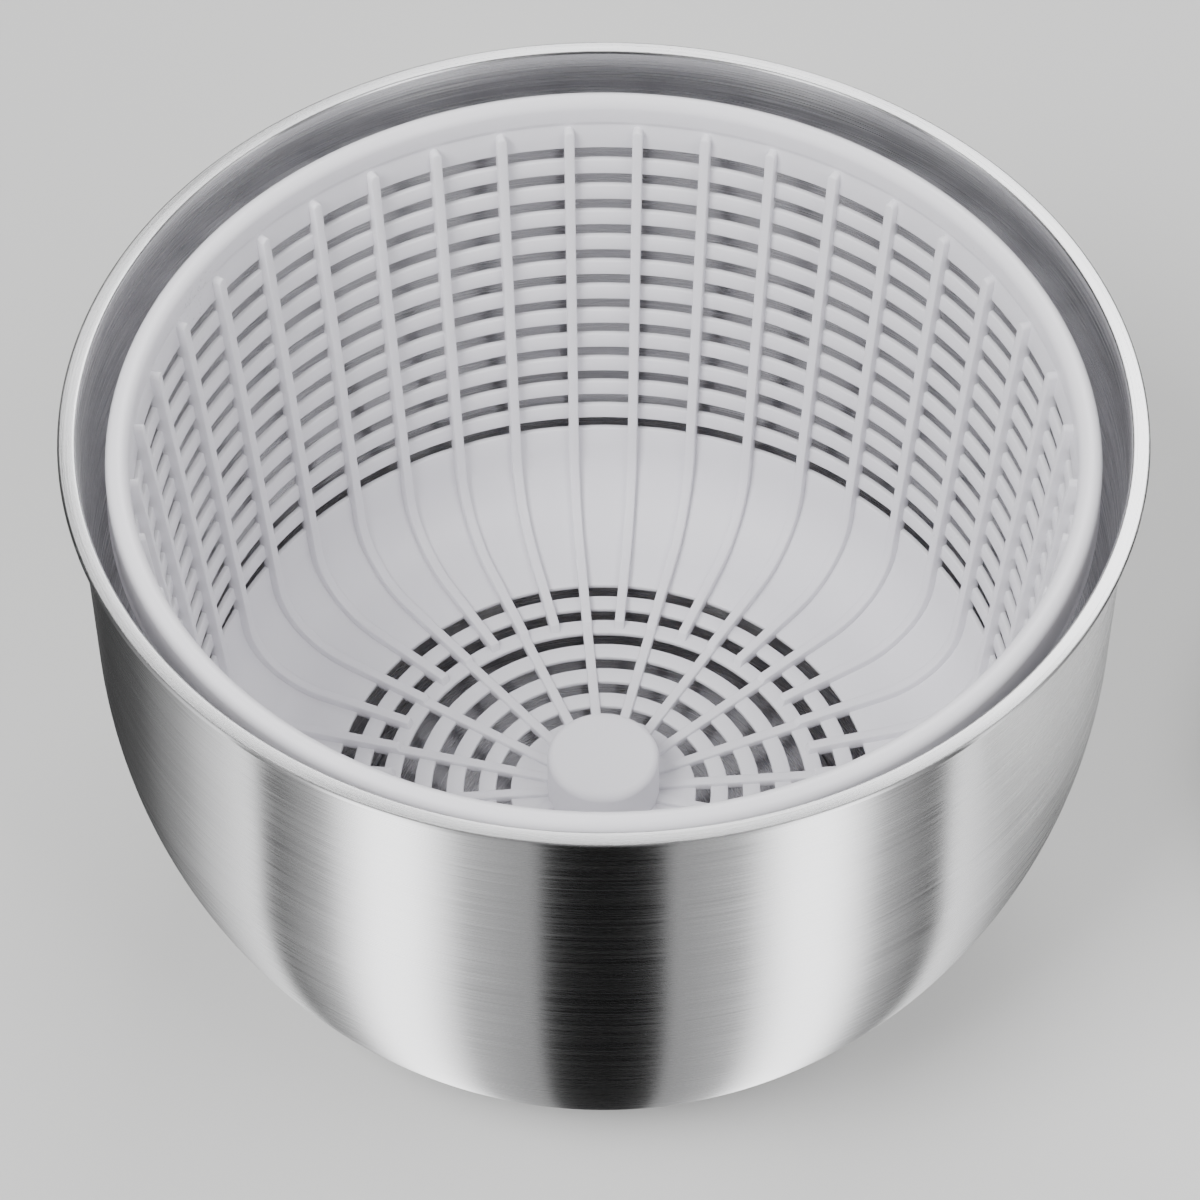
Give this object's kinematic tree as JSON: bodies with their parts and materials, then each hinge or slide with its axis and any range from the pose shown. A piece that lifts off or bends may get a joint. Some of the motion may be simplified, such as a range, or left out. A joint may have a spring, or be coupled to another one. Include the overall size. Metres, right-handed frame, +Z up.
{
  "type": "salad spinner",
  "caption": "Brushed steel salad spinner bowl with a slotted white spinning basket inside, and its geared crank lid laid beside it.",
  "frame": {"origin": "centre of the non-slip pad's underside, on the bowl's axis, at table height", "axes": "+Z up along the bowl's axis, +X from the bowl towards the lid laid beside it, -Y the side the object is seen from"},
  "size_m": [0.5746, 0.2652, 0.172],
  "materials": {
    "bowl_steel": "fine horizontal brushing, satin",
    "bright_steel": "turned or drawn steel, semi-bright",
    "cap_steel": "spun brushed steel disc",
    "basket_plastic": "smooth moulded plastic, slightly translucent",
    "lid_plastic": "smooth moulded plastic",
    "inner_plastic": "fine moulded texture",
    "acetal": "natural acetal",
    "button_plastic": "fine moulded texture",
    "grey_silicone": "matt silicone",
    "pad_rubber": "matt rubber"
  },
  "bodies": {
    "bowl_unit": {"bowl": "bowl_steel", "base_pad": "grey_silicone", "pivot_pin": "bright_steel"},
    "turning_cap": {"pivot_cap": "acetal"},
    "basket_unit": {"basket": "basket_plastic"},
    "lid_unit": {"lid_cover": "lid_plastic", "lid_seal": "grey_silicone", "gear_case_plate": "inner_plastic", "case_screws": "bright_steel", "crank_bush": "acetal", "drive_bush": "acetal", "ring_gear": "acetal", "brake_spring": "bright_steel"},
    "crank_unit": {"planet_carrier": "acetal", "planet_pins": "bright_steel", "crank_washer": "bright_steel", "crank_arm": "lid_plastic", "crank_screw": "bright_steel", "crank_cap": "cap_steel", "knob_pin": "bright_steel"},
    "knob_unit": {"crank_knob": "lid_plastic", "knob_cap": "cap_steel"},
    "planet_a": {"planet_gear_a": "acetal"},
    "planet_b": {"planet_gear_b": "acetal"},
    "planet_c": {"planet_gear_c": "acetal"},
    "plate_unit": {"sun_shaft": "acetal", "thrust_washers": "bright_steel", "drive_plate": "inner_plastic", "drive_ring": "inner_plastic", "plate_washer": "bright_steel", "plate_screw": "bright_steel"},
    "brake_unit": {"brake_button": "button_plastic", "brake_pad": "pad_rubber"}
  },
  "joints": [
    {"name": "basket_spin", "type": "hinge", "parent": "bowl_unit", "child": "turning_cap", "pos_m": [0, 0, 0.02], "axis": [0, 0, 1], "continuous": true},
    {"name": "basket_lift", "type": "slide", "parent": "turning_cap", "child": "basket_unit", "axis": [0, 0, 1], "range_m": [0, 0.18]},
    {"name": "lid_lift", "type": "slide", "parent": "bowl_unit", "child": "lid_unit", "axis": [0, 0, 1], "range_m": [0, 0.2]},
    {"name": "crank_spin", "type": "hinge", "parent": "lid_unit", "child": "crank_unit", "pos_m": [0.31, 0, 0.04], "axis": [0, 0, 1], "continuous": true},
    {"name": "plate_spin", "type": "hinge", "parent": "lid_unit", "child": "plate_unit", "pos_m": [0.31, 0, 0.03], "axis": [0, 0, 1], "continuous": true},
    {"name": "planet_a_spin", "type": "hinge", "parent": "crank_unit", "child": "planet_a", "pos_m": [0.3325, 0, 0.028], "axis": [0, 0, 1], "continuous": true},
    {"name": "planet_b_spin", "type": "hinge", "parent": "crank_unit", "child": "planet_b", "pos_m": [0.29875, 0.01949, 0.028], "axis": [0, 0, 1], "continuous": true},
    {"name": "planet_c_spin", "type": "hinge", "parent": "crank_unit", "child": "planet_c", "pos_m": [0.29875, -0.01949, 0.028], "axis": [0, 0, 1], "continuous": true},
    {"name": "knob_spin", "type": "hinge", "parent": "crank_unit", "child": "knob_unit", "pos_m": [0.2687, -0.05898, 0.06], "axis": [0, 0, 1], "continuous": true},
    {"name": "brake_press", "type": "slide", "parent": "lid_unit", "child": "brake_unit", "axis": [0, 0, -1], "range_m": [0, 0.0042], "stiffness_N_per_m": 300, "springref_m": -0.008, "deforming": ["brake_spring"]}
  ],
  "couplings": [
    {"joint": "plate_spin", "follows": "crank_spin", "ratio": 5},
    {"joint": "planet_a_spin", "follows": "crank_spin", "ratio": -2.6667},
    {"joint": "planet_b_spin", "follows": "crank_spin", "ratio": -2.6667},
    {"joint": "planet_c_spin", "follows": "crank_spin", "ratio": -2.6667}
  ]
}
